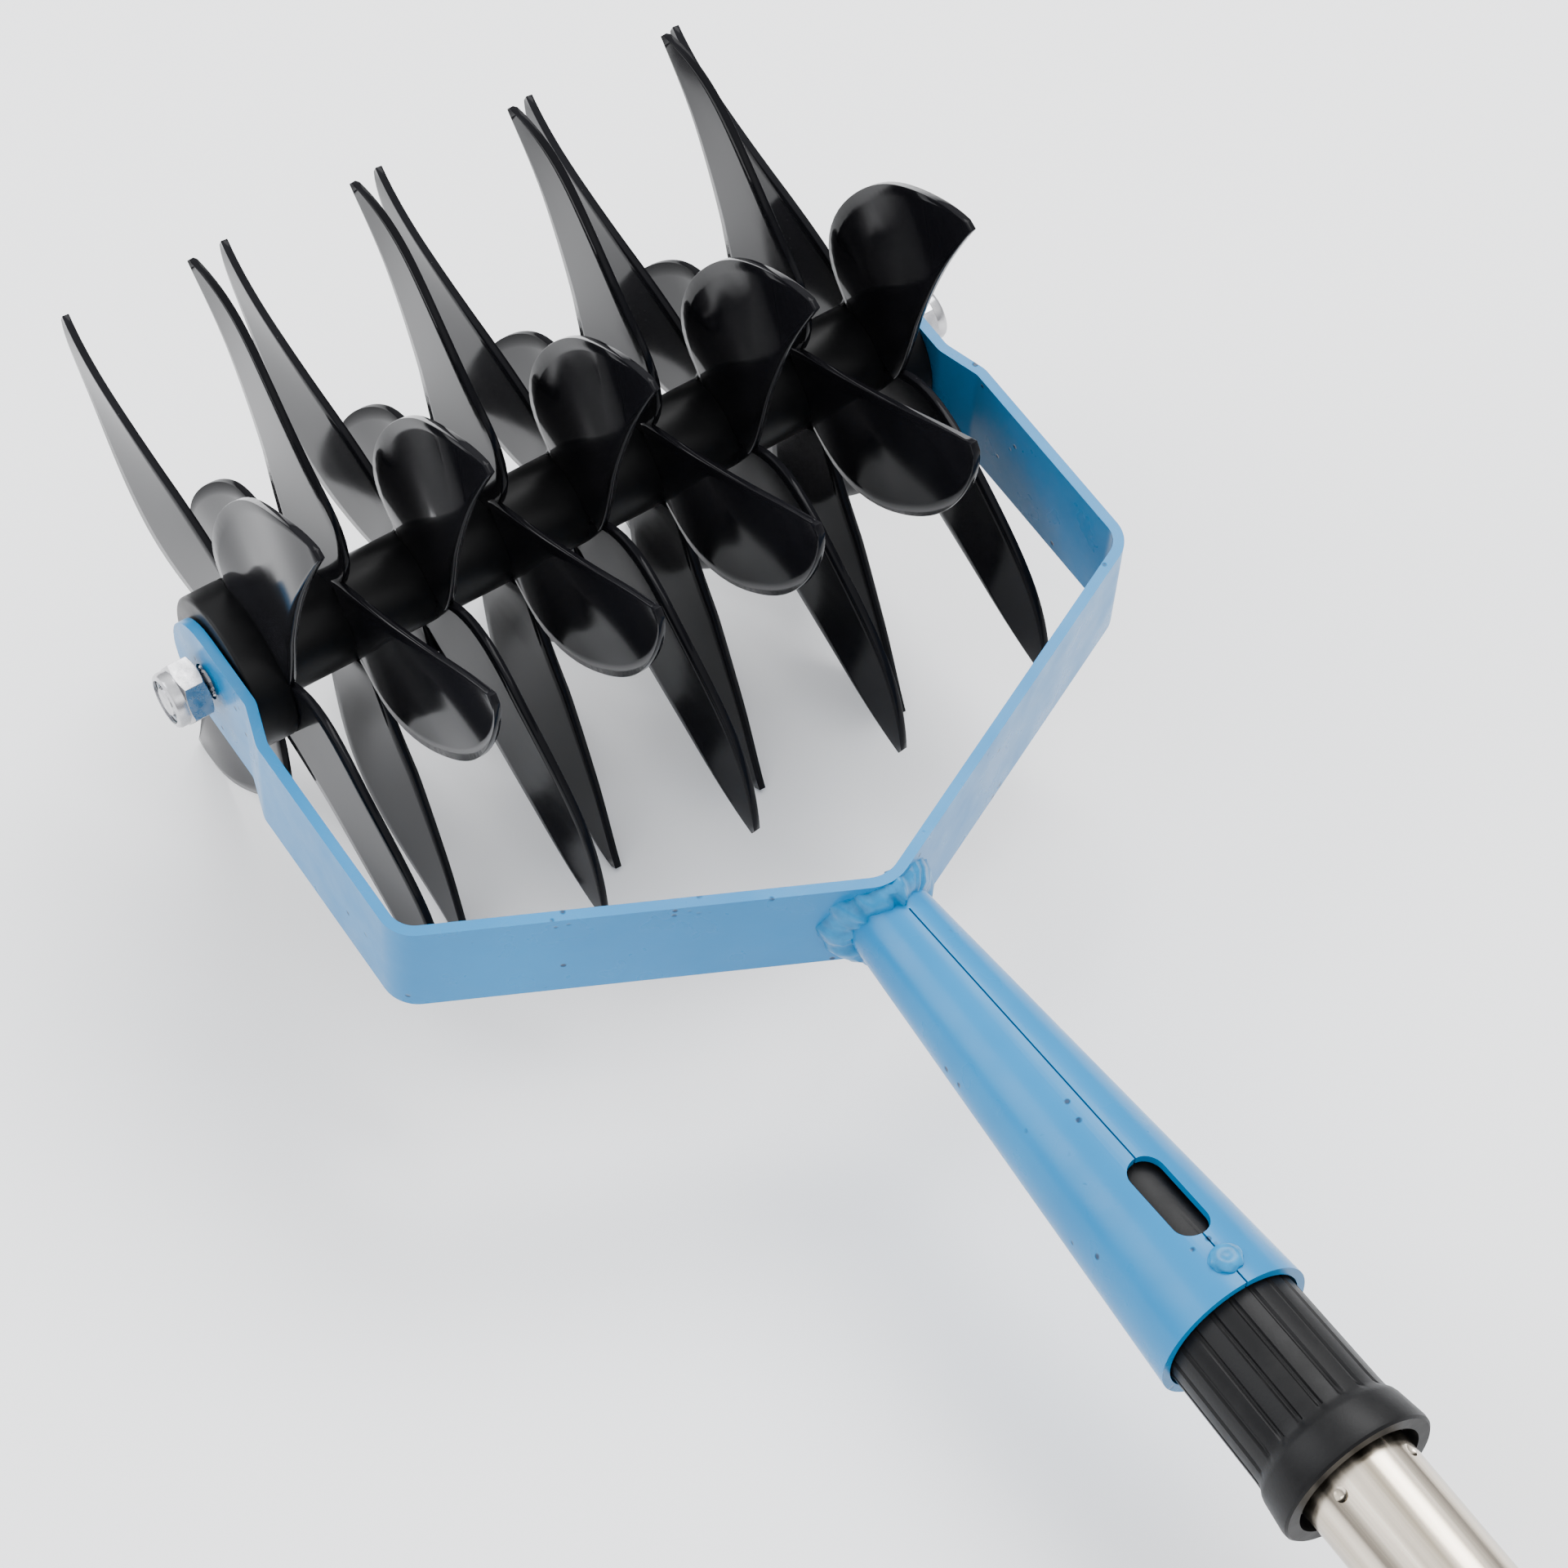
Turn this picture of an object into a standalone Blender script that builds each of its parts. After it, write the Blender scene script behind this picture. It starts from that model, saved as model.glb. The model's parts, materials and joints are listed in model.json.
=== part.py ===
"""Rotary tiller head: nine four-bladed tine wheels on an axle, in a welded yoke with a handle.

Units are metres and +Z is up. The tool is drawn in its own frame, with the axle along X through
the origin and the handle towards -Y, and tool_frame then leans it into its resting pose.
"""

import math

import bmesh
import bpy
from mathutils import Matrix, Vector
from mathutils.geometry import interpolate_bezier

MM = 0.001
GAP = 0.3 * MM

# Resting pose: two rows of tips and the far end of the handle stand on the ground.
REST_LEAN = math.radians(7.25)

# Axle and its nuts
ROD_RADIUS = 3.9 * MM
ROD_HALF_LENGTH = 97.6 * MM
THREAD_PITCH = 1.25 * MM
THREAD_DEPTH = 0.6 * MM
THREAD_START = 87.4 * MM
NUT_SEAT = 89.7 * MM
NUT_ACROSS_FLATS = 13.0 * MM
NUT_HEX_HEIGHT = 5.4 * MM
NUT_HEIGHT = 8.0 * MM
INSERT_RADIUS = 5.4 * MM

# Tine wheels
WHEEL_COUNT = 9
BLADES_PER_WHEEL = 4
FIRST_WHEEL_X = -75.8 * MM
WHEEL_PITCH = 19.2 * MM
HUB_RADIUS = 10.5 * MM
END_HUB_RADIUS = 18.0 * MM
BORE_RADIUS = 4.5 * MM
HUB_LEAD = 3.0 * MM
ROTOR_LEFT = -84.9 * MM
ROTOR_RIGHT = 85.2 * MM
BLADE_THICKNESS = 1.6 * MM
ODD_TIP_ANGLE = math.radians(23.6)
EVEN_TIP_ANGLE = math.radians(51.9)

# Blade outline, along the radius and across it, in millimetres: two curves for the belly of
# the blade and one for its hollow edge, each with its Bezier handles.
BELLY_ROOT = ((7.5, -5.0), (9.0, -18.0), (22.0, -24.6), (34.0, -24.6))
BELLY_TIP = ((34.0, -24.6), (52.0, -24.6), (76.0, -14.5), (82.8, -1.3))
HOLLOW_EDGE = ((10.0, 11.0), (19.0, 12.0), (50.0, 2.0), (82.8, 1.0))
CURVE_STEPS = 5
BLADE_ACROSS = 3

# Axial offset of a blade: root, slope along, slope across, then the three bending terms
# along², across² and along x across, per 80, 20 and 40 mm.
BACK_BLADE_SWEEP = (-5.6, 0.065, 0.25, -0.007, 0.27, -0.074)
FRONT_BLADE_SWEEP = (6.05, -0.14, -0.07, 0.053, -0.19, -0.083)

# Radii between which the offset grows from the web at the hub, and from which it fades to the tip
RISE_FROM = 8.0 * MM
RISE_TO = 38.0 * MM
FADE_FROM = 60.0 * MM
FADE_TO = 82.8 * MM
WEB_RISE = 0.05

# Yoke, a bent flat bar
BAR_WIDTH = 27.4 * MM
BAR_THICKNESS = 2.4 * MM
EAR_X = 86.7 * MM
ARM_X = 89.9 * MM
JOGGLE_START = 18.0 * MM
JOGGLE_END = 28.0 * MM
CORNER_Y = -80.7 * MM
APEX_Y = -123.7 * MM
CORNER_BEND = 7.0 * MM
JOGGLE_BEND = 6.0 * MM
APEX_BEND = 9.0 * MM
AXLE_HOLE_RADIUS = 4.2 * MM

# Handle, measured along its own axis from the apex of the yoke
HANDLE_ROOT_Y = -125.0 * MM
HANDLE_RISE = 0.08
SOCKET_ROOT_RADIUS = 9.3 * MM
SOCKET_MOUTH_RADIUS = 17.0 * MM
SOCKET_LENGTH = 114.6 * MM
SOCKET_WALL = 1.8 * MM
SEAM_TURN = math.radians(-5.0)
SEAM_START = 5.0 * MM
SEAM_WIDTH = 0.5 * MM
SLOT_WIDTH = 8.0 * MM
SLOT_START = 80.0 * MM
SLOT_END = 101.0 * MM
PLUG_START = 46.0 * MM
PLUG_RADIUS = 14.6 * MM
PLUG_RIBS = 20
RIB_HEIGHT = 0.7 * MM
COLLAR_START = 143.0 * MM
COLLAR_LENGTH = 10.0 * MM
COLLAR_RADIUS = 17.3 * MM
COLLAR_RECESS = 4.0 * MM
SPIGOT_END = 215.0 * MM
TUBE_RADIUS = 12.05 * MM
TUBE_WALL = 1.0 * MM
LOWER_TUBE_LENGTH = 330.0 * MM
UPPER_TUBE_LENGTH = 389.7 * MM
CRIMP_AT = 156.5 * MM
CRIMP_ANGLES = (-0.75, 0.75, 2.39, 3.89)
GRIP_LENGTH = 150.0 * MM
GRIP_RADIUS = 15.2 * MM
GRIP_GROOVES = 6
CAP_LENGTH = 12.0 * MM


def clear_scene():
    for obj in list(bpy.data.objects):
        bpy.data.objects.remove(obj, do_unlink=True)
    for collection in list(bpy.data.collections):
        bpy.data.collections.remove(collection)


def new_collection(name):
    collection = bpy.data.collections.new(name)
    bpy.context.scene.collection.children.link(collection)
    return collection


def new_material(name, colour, roughness, metallic=0.0):
    material = bpy.data.materials.new(name)
    material.use_nodes = True
    shader = material.node_tree.nodes["Principled BSDF"]
    shader.inputs["Base Color"].default_value = (*colour, 1.0)
    shader.inputs["Roughness"].default_value = roughness
    shader.inputs["Metallic"].default_value = metallic
    material.diffuse_color = (*colour, 1.0)
    return material


def add_empty(name, parent=None, location=(0, 0, 0), rotation=(0, 0, 0)):
    empty = bpy.data.objects.new(name, None)
    bpy.context.scene.collection.objects.link(empty)
    empty.parent = parent
    empty.location = location
    empty.rotation_euler = rotation
    return empty


def add_object(name, mesh, material, parent=None, location=(0, 0, 0), rotation=(0, 0, 0)):
    obj = bpy.data.objects.new(name, mesh)
    PARTS.objects.link(obj)
    obj.parent = parent
    obj.location = location
    obj.rotation_euler = rotation
    if material is not None:
        mesh.materials.clear()
        mesh.materials.append(material)
    return obj


def as_cutter(obj):
    PARTS.objects.unlink(obj)
    CUTTERS.objects.link(obj)
    obj.hide_render = True
    obj.display_type = "WIRE"
    return obj


def boolean(obj, cutter, operation="DIFFERENCE"):
    modifier = obj.modifiers.new(operation.title() + "_" + cutter.name, "BOOLEAN")
    modifier.operation = operation
    modifier.solver = "EXACT"
    modifier.object = cutter


def mesh_from(bm, name, sharp_angle=35.0):
    bmesh.ops.recalc_face_normals(bm, faces=bm.faces)
    mesh = bpy.data.meshes.new(name)
    bm.to_mesh(mesh)
    bm.free()
    mesh.shade_smooth()
    mesh.set_sharp_from_angle(angle=math.radians(sharp_angle))
    return mesh


def cylinder_mesh(name, radius, start, end, segments=32):
    """A cylinder along X between two stations."""
    bm = bmesh.new()
    place = Matrix.Translation(((start + end) / 2, 0, 0)) @ Matrix.Rotation(math.pi / 2, 4, "Y")
    bmesh.ops.create_cone(bm, cap_ends=True, segments=segments, radius1=radius, radius2=radius,
                          depth=end - start, matrix=place)
    return mesh_from(bm, name)


def box_mesh(name, size, centre=(0, 0, 0)):
    bm = bmesh.new()
    bmesh.ops.create_cube(bm, size=1.0, matrix=Matrix.Translation(centre) @ Matrix.Diagonal((*size, 1)))
    return mesh_from(bm, name)


def turned(name, profile, material, parent, steps=32, rotation=(0, 0, 0), location=(0, 0, 0)):
    """A solid of revolution about local Z. The profile is (radius, height) up the outer side.

    A profile that starts on the axis ends on it too, and any other is closed to a ring.
    """
    bm = bmesh.new()
    verts = [bm.verts.new((radius, 0, height)) for radius, height in reversed(profile)]
    closing = [] if profile[0][0] == 0 else verts[:1]
    following = verts[1:] + closing
    for first, second in zip(verts, following):
        bm.edges.new((first, second))
    mesh = bpy.data.meshes.new(name)
    bm.to_mesh(mesh)
    bm.free()
    obj = add_object(name, mesh, material, parent, location, rotation)
    screw = obj.modifiers.new("Turn", "SCREW")
    screw.steps = steps
    screw.render_steps = steps
    screw.use_merge_vertices = True
    screw.merge_threshold = 0.00001
    screw.use_smooth_shade = True
    return obj


def bezier_points(handles, steps=CURVE_STEPS):
    corners = [Vector((u * MM, v * MM, 0)) for u, v in handles]
    return interpolate_bezier(corners[0], corners[1], corners[2], corners[3], steps)


def blade_offset(sweep, u, v):
    """How far a point of the blade stands off the plane of its tips."""
    root, along, across, along_bend, across_bend, twist = sweep
    u_mm = u / MM
    v_mm = v / MM
    flat = root + along * u_mm + across * v_mm
    bent = along_bend * u_mm ** 2 / 80 + across_bend * v_mm ** 2 / 20 + twist * u_mm * v_mm / 40
    rise = max(WEB_RISE, min(1.0, (u - RISE_FROM) / (RISE_TO - RISE_FROM)))
    fade = 1.0 - max(0.0, (u - FADE_FROM) / (FADE_TO - FADE_FROM)) ** 2
    return (flat + bent) * rise * fade * MM


def blade_mesh(name, sweep):
    """A ruled sheet between the belly and the hollow edge of the blade, pointing along +Y."""
    belly = bezier_points(BELLY_ROOT) + bezier_points(BELLY_TIP)[1:]
    hollow = bezier_points(HOLLOW_EDGE, len(belly))
    bm = bmesh.new()
    bmesh.ops.create_grid(bm, x_segments=len(belly) - 1, y_segments=BLADE_ACROSS, size=0.5)
    for vert in bm.verts:
        station = round((vert.co.x + 0.5) * (len(belly) - 1))
        edges = [Vector((blade_offset(sweep, point.x, point.y), point.x, point.y))
                 for point in (belly[station], hollow[station])]
        vert.co = edges[0].lerp(edges[1], vert.co.y + 0.5)
    return mesh_from(bm, name)


def add_blade(name, mesh, parent, angle, flip):
    blade = as_cutter(add_object(name, mesh, None, parent))
    blade.matrix_local = Matrix.Rotation(angle, 4, "X") @ Matrix.Rotation(flip, 4, "Y")
    sheet = blade.modifiers.new("Sheet", "SOLIDIFY")
    sheet.thickness = BLADE_THICKNESS
    sheet.offset = 0.0
    return blade


def hub_radius(number):
    return END_HUB_RADIUS if number in (0, WHEEL_COUNT) else HUB_RADIUS


def build_wheel(number, blade_meshes, material, rotor):
    """One wheel: a hub that starts just left of its tip plane, and blades that straddle the plane."""
    plane = FIRST_WHEEL_X + WHEEL_PITCH * (number - 1)
    hub_end = ROTOR_RIGHT - plane if number == WHEEL_COUNT else WHEEL_PITCH - HUB_LEAD
    hub = cylinder_mesh(f"tine_wheel_{number}", hub_radius(number), -HUB_LEAD, hub_end, 28)
    wheel = add_object(f"tine_wheel_{number}", hub, material, rotor, (plane, 0, 0))
    odd = number % 2 == 1
    first_angle = ODD_TIP_ANGLE if odd else EVEN_TIP_ANGLE
    for index in range(BLADES_PER_WHEEL):
        angle = first_angle + index * 2 * math.pi / BLADES_PER_WHEEL
        front = index % 2 == (0 if odd else 1)
        blade = add_blade(f"blade_{number}_{index}", blade_meshes[front], wheel, angle,
                          0.0 if odd else math.pi)
        boolean(wheel, blade, "UNION")
    clearance = cylinder_mesh("hub_clearance", hub_radius(number - 1) + GAP, -WHEEL_PITCH,
                              GAP - HUB_LEAD, 28)
    boolean(wheel, as_cutter(add_object(f"clearance_{number}", clearance, None, wheel)))
    bore = cylinder_mesh("bore", BORE_RADIUS, -WHEEL_PITCH, 2 * WHEEL_PITCH, 16)
    boolean(wheel, as_cutter(add_object(f"bore_{number}", bore, None, wheel)))
    return wheel


def build_rotor(parent, material):
    rotor = add_empty("rotor_axis", parent)
    blade_meshes = {False: blade_mesh("back_blade", BACK_BLADE_SWEEP),
                    True: blade_mesh("front_blade", FRONT_BLADE_SWEEP)}
    for number in range(1, WHEEL_COUNT + 1):
        build_wheel(number, blade_meshes, material, rotor)
    spacer_end = FIRST_WHEEL_X - HUB_LEAD
    spacer_profile = [(BORE_RADIUS, ROTOR_LEFT), (END_HUB_RADIUS - MM, ROTOR_LEFT),
                      (END_HUB_RADIUS, ROTOR_LEFT + MM), (END_HUB_RADIUS, spacer_end),
                      (BORE_RADIUS, spacer_end)]
    turned("end_spacer", spacer_profile, material, rotor, 36, (0, math.pi / 2, 0))


def rounded_path(corners, bends, steps=5):
    """The points of a bent path: straight runs with an arc of the given radius at each corner."""
    points = [Vector(corners[0])]
    for before, corner, after, bend in zip(corners, corners[1:], corners[2:], bends):
        corner = Vector(corner)
        back = (Vector(before) - corner).normalized()
        ahead = (Vector(after) - corner).normalized()
        half = back.angle(ahead) / 2
        centre = corner + (back + ahead).normalized() * bend / math.sin(half)
        first = corner + back * bend / math.tan(half) - centre
        last = corner + ahead * bend / math.tan(half) - centre
        for step in range(steps):
            points.append(centre + first.normalized().slerp(last.normalized(), step / (steps - 1)) * bend)
    points.append(Vector(corners[-1]))
    return points


def yoke_path():
    """The middle of the bar from the left ear, round the V base, to the right ear."""
    end = Vector((-EAR_X, BAR_WIDTH / 2 * math.sin(math.radians(80)), 0))
    corners = [end, (-EAR_X, -JOGGLE_START, 0), (-ARM_X, -JOGGLE_END, 0), (-ARM_X, CORNER_Y, 0),
               (0, APEX_Y, 0)]
    mirrored = [(-corner[0], corner[1], 0) for corner in reversed(corners[:-1])]
    side_bends = [JOGGLE_BEND, JOGGLE_BEND, CORNER_BEND]
    bends = side_bends + [APEX_BEND] + side_bends[::-1]
    path = rounded_path(corners + mirrored, bends)
    ear_turn = [Vector((-EAR_X, BAR_WIDTH / 2 * math.sin(math.radians(angle)), 0))
                for angle in (66, 50, 32, 14, 0)]
    opposite = [Vector((-point.x, point.y, 0)) for point in reversed(ear_turn)]
    return path[:1] + ear_turn + path[1:-1] + opposite + path[-1:]


def bar_mesh(name):
    """The bar as a sheet that follows its path, with full-radius ends at the ears."""
    path = yoke_path()
    bm = bmesh.new()
    bmesh.ops.create_grid(bm, x_segments=len(path) - 1, y_segments=2, size=0.5)
    radius = BAR_WIDTH / 2
    for vert in bm.verts:
        station = path[round((vert.co.x + 0.5) * (len(path) - 1))]
        past_axle = max(0.0, station.y)
        half_width = math.sqrt(radius ** 2 - past_axle ** 2)
        vert.co = Vector((station.x, station.y, 2 * vert.co.y * half_width))
    return mesh_from(bm, name)


def build_yoke(parent, material):
    yoke = add_object("yoke_frame", bar_mesh("yoke_frame"), material, parent)
    sheet = yoke.modifiers.new("Bar", "SOLIDIFY")
    sheet.thickness = BAR_THICKNESS
    sheet.offset = 0.0
    sheet.use_even_offset = True
    hole = cylinder_mesh("axle_hole", AXLE_HOLE_RADIUS, -0.12, 0.12, 24)
    boolean(yoke, as_cutter(add_object("axle_hole", hole, None, parent)))
    edge = yoke.modifiers.new("Edge", "BEVEL")
    edge.width = 0.45 * MM
    edge.segments = 1
    edge.limit_method = "ANGLE"
    edge.angle_limit = math.radians(50)
    return yoke


def bar_clearance(parent):
    """A thicker copy of the bar that cuts the socket and its weld clear of the yoke."""
    clearance = as_cutter(add_object("bar_clearance", bar_mesh("bar_clearance"), None, parent))
    sheet = clearance.modifiers.new("Clear", "SOLIDIFY")
    sheet.thickness = BAR_THICKNESS + 2 * GAP
    sheet.offset = 0.0
    sheet.use_even_offset = True
    clearance.scale = (1, 1, 1.3)
    return clearance


def socket_radius(height):
    return SOCKET_ROOT_RADIUS + (SOCKET_MOUTH_RADIUS - SOCKET_ROOT_RADIUS) * height / SOCKET_LENGTH


def slot_cutter(parent):
    """A slot with round ends through the seam side of the socket."""
    length = SLOT_END - SLOT_START
    size = (SLOT_WIDTH, 0.02, length)
    mesh = box_mesh("latch_slot", size, (0, 0.018, (SLOT_START + SLOT_END) / 2))
    slot = as_cutter(add_object("latch_slot", mesh, None, parent))
    bm = bmesh.new()
    bm.from_mesh(mesh)
    upright = [edge for edge in bm.edges
               if abs(edge.verts[0].co.x - edge.verts[1].co.x) + abs(edge.verts[0].co.z - edge.verts[1].co.z)
               < 0.1 * MM]
    bmesh.ops.bevel(bm, geom=upright, offset=0.48 * SLOT_WIDTH, segments=6, profile=0.5, affect="EDGES")
    bm.to_mesh(mesh)
    bm.free()
    return slot


def build_socket(parent, seam_side, yoke_clearance, material):
    start = -6 * MM
    wall = SOCKET_WALL
    profile = [(socket_radius(start) - wall, start), (socket_radius(start), start),
               (SOCKET_MOUTH_RADIUS, SOCKET_LENGTH), (SOCKET_MOUTH_RADIUS - wall, SOCKET_LENGTH)]
    socket = turned("handle_socket", profile, material, parent, 40)
    boolean(socket, yoke_clearance)
    behind = box_mesh("behind_bar", (0.1, 0.1, 0.05), (0, 0, -0.025 + 0.4 * MM))
    boolean(socket, as_cutter(add_object("behind_bar", behind, None, parent)))
    seam = box_mesh("seam_cut", (SEAM_WIDTH, 0.02, 0.2), (0, 0.018, SEAM_START + 0.1))
    boolean(socket, as_cutter(add_object("seam_cut", seam, None, seam_side)))
    boolean(socket, slot_cutter(seam_side))
    return socket


def build_socket_weld(parent, yoke_clearance, material):
    """A fillet bead round the foot of the socket, cut clear of the bar and of the socket."""
    bead = SOCKET_ROOT_RADIUS + 0.4 * MM
    rise = 4.2 * MM
    profile = [(bead - 1.2 * MM, -5.0 * MM), (bead + 4.4 * MM, -5.0 * MM), (bead + 3.6 * MM, 0.0),
               (bead + 2.2 * MM, 0.6 * rise), (bead + 0.6 * MM, rise), (bead - 1.2 * MM, rise)]
    weld = turned("socket_weld", profile, material, parent, 40)
    outside = turned("weld_core", [(0, -0.02), (socket_radius(-0.02) + GAP, -0.02),
                                   (socket_radius(0.02) + GAP, 0.02), (0, 0.02)], None, parent, 40)
    boolean(weld, as_cutter(outside))
    boolean(weld, yoke_clearance)
    behind = box_mesh("behind_weld", (0.1, 0.1, 0.05), (0, 0, -0.025 + 0.4 * MM))
    boolean(weld, as_cutter(add_object("behind_weld", behind, None, parent)))
    return weld


def build_tack_weld(parent, material):
    """A small button of weld that closes the seam between the slot and the mouth."""
    height = 108.2 * MM
    profile = [(0, 0), (3.4 * MM, 0), (3.0 * MM, 0.9 * MM), (1.8 * MM, 1.5 * MM), (0, 1.7 * MM)]
    lift = socket_radius(height) + GAP
    lean = math.atan((SOCKET_MOUTH_RADIUS - SOCKET_ROOT_RADIUS) / SOCKET_LENGTH)
    turned("seam_tack_weld", profile, material, parent, 16,
           (-math.pi / 2 - lean, 0, 0), (0, lift, height))


def build_plug(parent, material):
    """The ribbed plug that joins the tube to the socket: a taper, a ribbed barrel and a collar."""
    taper_end = (PLUG_RADIUS + GAP + SOCKET_WALL - SOCKET_ROOT_RADIUS) * SOCKET_LENGTH \
        / (SOCKET_MOUTH_RADIUS - SOCKET_ROOT_RADIUS) - MM
    foot_radius = socket_radius(PLUG_START) - SOCKET_WALL - 2 * GAP
    barrel = PLUG_RADIUS - RIB_HEIGHT
    spigot = TUBE_RADIUS - TUBE_WALL - GAP
    collar_end = COLLAR_START + COLLAR_LENGTH
    profile = [(0, PLUG_START), (foot_radius - 1.5 * MM, PLUG_START), (foot_radius, PLUG_START + 2 * MM),
               (PLUG_RADIUS - GAP, taper_end - 2 * MM), (barrel, taper_end + 2 * MM),
               (barrel, COLLAR_START), (COLLAR_RADIUS - 0.4 * MM, COLLAR_START + 0.3 * COLLAR_LENGTH),
               (COLLAR_RADIUS, COLLAR_START + COLLAR_LENGTH - MM), (COLLAR_RADIUS - 0.5 * MM, collar_end),
               (TUBE_RADIUS + 1.6 * MM, collar_end), (TUBE_RADIUS + 1.2 * MM, collar_end - COLLAR_RECESS),
               (spigot, collar_end - COLLAR_RECESS), (spigot, SPIGOT_END), (0, SPIGOT_END)]
    plug = turned("handle_plug", profile, material, parent, 40)
    for index in range(PLUG_RIBS):
        angle = 2 * math.pi * (index + 0.5) / PLUG_RIBS
        rib = box_mesh("rib", (2.0 * MM, 1.6 * MM, COLLAR_START - taper_end - MM),
                       (0, barrel - 0.1 * MM, (COLLAR_START + taper_end + 2 * MM) / 2))
        cutter = as_cutter(add_object(f"rib_{index}", rib, None, parent, rotation=(0, 0, angle)))
        boolean(plug, cutter, "UNION")
    return plug


def tube_profile(start, end, radius, wall):
    inner = radius - wall
    return [(inner, start), (radius, start), (radius, end), (inner, end)]


def build_handle(parent, steel, dark):
    """The tube in two lengths with a coupler, and a grip with an end cap."""
    tube_start = COLLAR_START + COLLAR_LENGTH - COLLAR_RECESS + GAP
    tube_mid = tube_start + LOWER_TUBE_LENGTH
    lower = turned("handle_tube_lower", tube_profile(tube_start, tube_mid, TUBE_RADIUS, TUBE_WALL),
                   steel, parent, 40)
    for angle in CRIMP_ANGLES:
        crimp_tube(lower, parent, angle)
    coupler_start = tube_mid - 22 * MM
    coupler_end = tube_mid + 22 * MM
    turned("tube_coupler", tube_profile(coupler_start, coupler_end, TUBE_RADIUS + GAP + 2.6 * MM, 2.6 * MM),
           dark, parent, 40)
    upper_start = tube_mid + GAP
    upper_end = upper_start + UPPER_TUBE_LENGTH
    turned("handle_tube_upper", tube_profile(upper_start, upper_end, TUBE_RADIUS, TUBE_WALL),
           steel, parent, 40)
    turned("tube_joint_sleeve",
           tube_profile(tube_mid - 30 * MM, tube_mid + 30 * MM, TUBE_RADIUS - TUBE_WALL - GAP, 1.5 * MM),
           steel, parent, 32)
    build_grip(parent, upper_end, dark)


def crimp_tube(tube, parent, angle):
    """A shallow round dimple that holds the tube on the plug's spigot."""
    reach = TUBE_RADIUS + 3.55 * MM
    bm = bmesh.new()
    bmesh.ops.create_uvsphere(bm, u_segments=16, v_segments=10, radius=4.0 * MM)
    punch = add_object("crimp_punch", mesh_from(bm, "crimp_punch"), None, parent,
                       (reach * math.sin(angle), reach * math.cos(angle), CRIMP_AT))
    boolean(tube, as_cutter(punch))


def build_grip(parent, tube_end, material):
    start = tube_end - GRIP_LENGTH
    inner = TUBE_RADIUS + GAP
    outer = GRIP_RADIUS
    profile = [(inner, start), (outer - 1.2 * MM, start), (outer, start + 1.2 * MM)]
    for index in range(GRIP_GROOVES):
        middle = start + 30 * MM + index * 18 * MM
        profile += [(outer, middle - 2.5 * MM), (outer - MM, middle), (outer, middle + 2.5 * MM)]
    profile += [(outer, tube_end), (inner, tube_end)]
    turned("handle_grip", profile, material, parent, 28)
    cap = [(0, tube_end + GAP), (outer, tube_end + GAP), (outer, tube_end + CAP_LENGTH - 3 * MM),
           (outer - 3 * MM, tube_end + CAP_LENGTH), (0, tube_end + CAP_LENGTH)]
    turned("grip_end_cap", cap, material, parent, 28)


def build_axle(parent, material):
    """A rod threaded at both ends, drawn with a ring for each turn of the thread."""
    core = ROD_RADIUS - THREAD_DEPTH
    right = [(ROD_RADIUS, THREAD_START)]
    turns = int((ROD_HALF_LENGTH - MM - THREAD_START) / THREAD_PITCH)
    for turn in range(turns):
        foot = THREAD_START + turn * THREAD_PITCH
        right += [(core, foot + 0.5 * THREAD_PITCH), (ROD_RADIUS, foot + THREAD_PITCH)]
    right += [(ROD_RADIUS - 0.7 * MM, ROD_HALF_LENGTH)]
    left = [(radius, -height) for radius, height in reversed(right)]
    profile = [(0, -ROD_HALF_LENGTH)] + left + right + [(0, ROD_HALF_LENGTH)]
    turned("axle_rod", profile, material, parent, 18, (0, math.pi / 2, 0))


def build_nut(name, side, parent, steel, nylon):
    """A lock nut and its nylon ring, with the seat of the nut towards the ear."""
    turn = (0, side * math.pi / 2, 0)
    corner = NUT_ACROSS_FLATS / math.sqrt(3)
    flat = NUT_ACROSS_FLATS / 2
    bm = bmesh.new()
    bmesh.ops.create_cone(bm, cap_ends=True, segments=6, radius1=corner, radius2=corner,
                          depth=NUT_HEIGHT, matrix=Matrix.Translation((0, 0, NUT_HEIGHT / 2)))
    seat = (side * NUT_SEAT, 0, 0)
    nut = add_object(name, mesh_from(bm, name), steel, parent, seat, turn)
    chamfer = (corner - flat) * 0.62
    collar = flat - 0.2 * MM
    bore = ROD_RADIUS + GAP
    shape = [(bore, -0.01 * MM), (flat, -0.01 * MM), (corner + 0.1 * MM, chamfer),
             (corner + 0.1 * MM, NUT_HEX_HEIGHT - chamfer), (collar, NUT_HEX_HEIGHT),
             (collar, NUT_HEIGHT - 0.9 * MM), (collar - 0.3 * MM, NUT_HEIGHT - 0.3 * MM),
             (collar - 0.9 * MM, NUT_HEIGHT), (INSERT_RADIUS - 0.4 * MM, NUT_HEIGHT),
             (INSERT_RADIUS - 0.4 * MM, NUT_HEIGHT - 0.5 * MM), (INSERT_RADIUS, NUT_HEIGHT - 0.5 * MM),
             (INSERT_RADIUS, NUT_HEX_HEIGHT), (bore, NUT_HEX_HEIGHT)]
    boolean(nut, as_cutter(turned(name + "_shape", shape, None, parent, 24, turn, seat)), "INTERSECT")
    ring = [(bore, NUT_HEX_HEIGHT + GAP), (INSERT_RADIUS - GAP, NUT_HEX_HEIGHT + GAP),
            (INSERT_RADIUS - GAP, NUT_HEIGHT - 0.8 * MM), (bore, NUT_HEIGHT - 0.8 * MM)]
    turned(name + "_insert", ring, nylon, parent, 16, turn, seat)


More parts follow.
